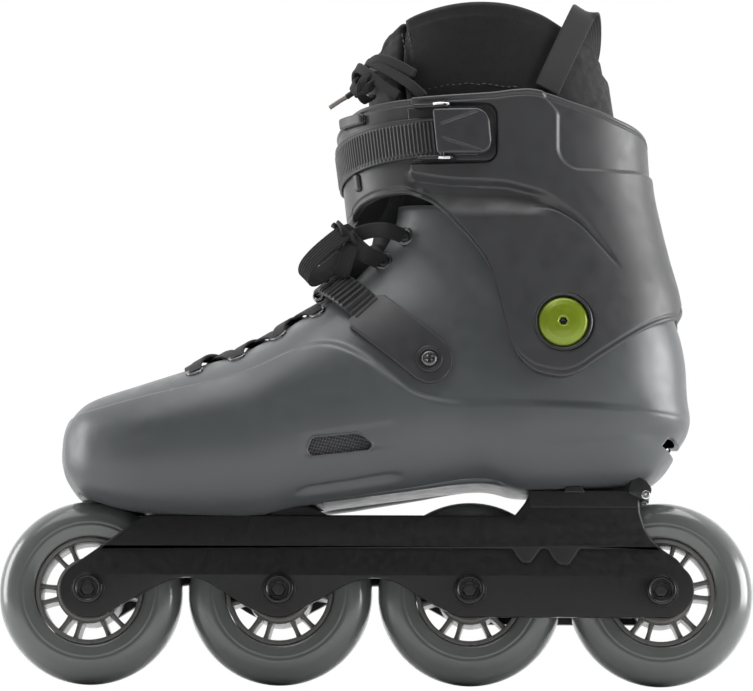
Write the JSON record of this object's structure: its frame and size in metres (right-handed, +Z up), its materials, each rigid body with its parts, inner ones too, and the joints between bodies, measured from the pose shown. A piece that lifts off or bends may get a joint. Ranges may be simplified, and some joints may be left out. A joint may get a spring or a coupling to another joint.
{
  "type": "inline skate",
  "caption": "Inline skate boot with a hinged cuff, padded liner, ladder straps with buckles and a long frame carrying a row of wheels, for one left foot.",
  "frame": {"origin": "on the floor, midway between the wheels, under the middle of the skate", "axes": "+X from toe to heel, +Z up, -Y towards the outer side of the foot"},
  "size_m": [0.3272, 0.1128, 0.3045],
  "materials": {
    "wheel_urethane": "glossy smoke-grey translucent urethane",
    "hub_nylon": "light grey glass-filled nylon",
    "bearing_steel": "ground bearing steel",
    "black_steel": "black oxide screws and axles",
    "frame_anodised": "black anodised extruded aluminium, fine grain",
    "bright_steel": "zinc plated steel",
    "shell_plastic": "satin grey moulded plastic",
    "vent_mesh": "black woven mesh",
    "bolt_green": "lime green anodised aluminium",
    "cuff_plastic": "satin dark grey moulded plastic",
    "buckle_black": "black moulded plastic",
    "strap_black": "black flexible plastic",
    "liner_fabric": "black padded knit",
    "footbed_fabric": "grey-black brushed fabric",
    "pad_rubber": "black rubber",
    "lace_fabric": "black flat woven lace",
    "webbing": "black woven webbing"
  },
  "bodies": {
    "boot": {"frame_chassis": "frame_anodised", "axle_1": "black_steel", "axle_2": "black_steel", "axle_3": "black_steel", "axle_4": "black_steel", "wheel_1_spacer": "bearing_steel", "wheel_2_spacer": "bearing_steel", "wheel_3_spacer": "bearing_steel", "wheel_4_spacer": "bearing_steel", "front_mount_bolt": "bright_steel", "front_mount_nut": "bright_steel", "rear_mount_bolt": "bright_steel", "rear_mount_nut": "bright_steel", "boot_shell": "shell_plastic", "vent_mesh_outer_side": "vent_mesh", "vent_mesh_inner_side": "vent_mesh", "cuff_bolt_outer_side": "bolt_green", "cuff_bolt_inner_side": "bolt_green", "cuff_nut_outer_side": "bright_steel", "cuff_nut_inner_side": "bright_steel", "liner_lower": "liner_fabric", "tongue_lower": "liner_fabric", "footbed": "footbed_fabric", "heel_shock_pad": "pad_rubber", "instep_ladder_strap": "strap_black", "instep_far_strap": "strap_black", "instep_screw_outer_side": "black_steel", "instep_screw_inner_side": "black_steel", "instep_buckle_base": "buckle_black", "instep_buckle_pin": "bright_steel", "shell_lace": "lace_fabric", "lace_bow": "lace_fabric"},
    "cuff": {"cuff": "cuff_plastic", "cuff_buckle_base": "buckle_black", "cuff_buckle_pin": "bright_steel", "cuff_ladder_strap": "strap_black", "cuff_ladder_screw": "black_steel", "liner_collar": "liner_fabric", "tongue_upper": "liner_fabric", "liner_lace": "lace_fabric", "pull_tab": "webbing"},
    "cuff_lever": {"cuff_buckle_lever": "buckle_black"},
    "instep_lever": {"instep_buckle_lever": "buckle_black"},
    "wheel_1": {"wheel_1_tyre": "wheel_urethane", "wheel_1_hub": "hub_nylon", "wheel_1_bearing_outer_side": "bearing_steel", "wheel_1_bearing_inner_side": "bearing_steel"},
    "wheel_2": {"wheel_2_tyre": "wheel_urethane", "wheel_2_hub": "hub_nylon", "wheel_2_bearing_outer_side": "bearing_steel", "wheel_2_bearing_inner_side": "bearing_steel"},
    "wheel_3": {"wheel_3_tyre": "wheel_urethane", "wheel_3_hub": "hub_nylon", "wheel_3_bearing_outer_side": "bearing_steel", "wheel_3_bearing_inner_side": "bearing_steel"},
    "wheel_4": {"wheel_4_tyre": "wheel_urethane", "wheel_4_hub": "hub_nylon", "wheel_4_bearing_outer_side": "bearing_steel", "wheel_4_bearing_inner_side": "bearing_steel"}
  },
  "joints": [
    {"name": "wheel_1_spin", "type": "hinge", "parent": "boot", "child": "wheel_1", "pos_m": [-0.1236, 0, 0.04], "axis": [0, 1, 0], "continuous": true},
    {"name": "wheel_2_spin", "type": "hinge", "parent": "boot", "child": "wheel_2", "pos_m": [-0.0412, 0, 0.04], "axis": [0, 1, 0], "continuous": true},
    {"name": "wheel_3_spin", "type": "hinge", "parent": "boot", "child": "wheel_3", "pos_m": [0.0412, 0, 0.04], "axis": [0, 1, 0], "continuous": true},
    {"name": "wheel_4_spin", "type": "hinge", "parent": "boot", "child": "wheel_4", "pos_m": [0.1236, 0, 0.04], "axis": [0, 1, 0], "continuous": true},
    {"name": "cuff_flex", "type": "hinge", "parent": "boot", "child": "cuff", "pos_m": [0.081, 0, 0.152], "axis": [0, 1, 0], "range_deg": [-8, 0], "stiffness_Nm_per_rad": 8, "springref_deg": 2.29},
    {"name": "cuff_lever_open", "type": "hinge", "parent": "cuff", "child": "cuff_lever", "pos_m": [0.029, -0.05518, 0.2337], "axis": [0, 0, -1], "range_deg": [0, 85]},
    {"name": "instep_lever_open", "type": "hinge", "parent": "boot", "child": "instep_lever", "pos_m": [-0.01136, 0.04347, 0.16538], "axis": [0.6379, -0.3543, 0.6838], "range_deg": [0, 75]}
  ]
}
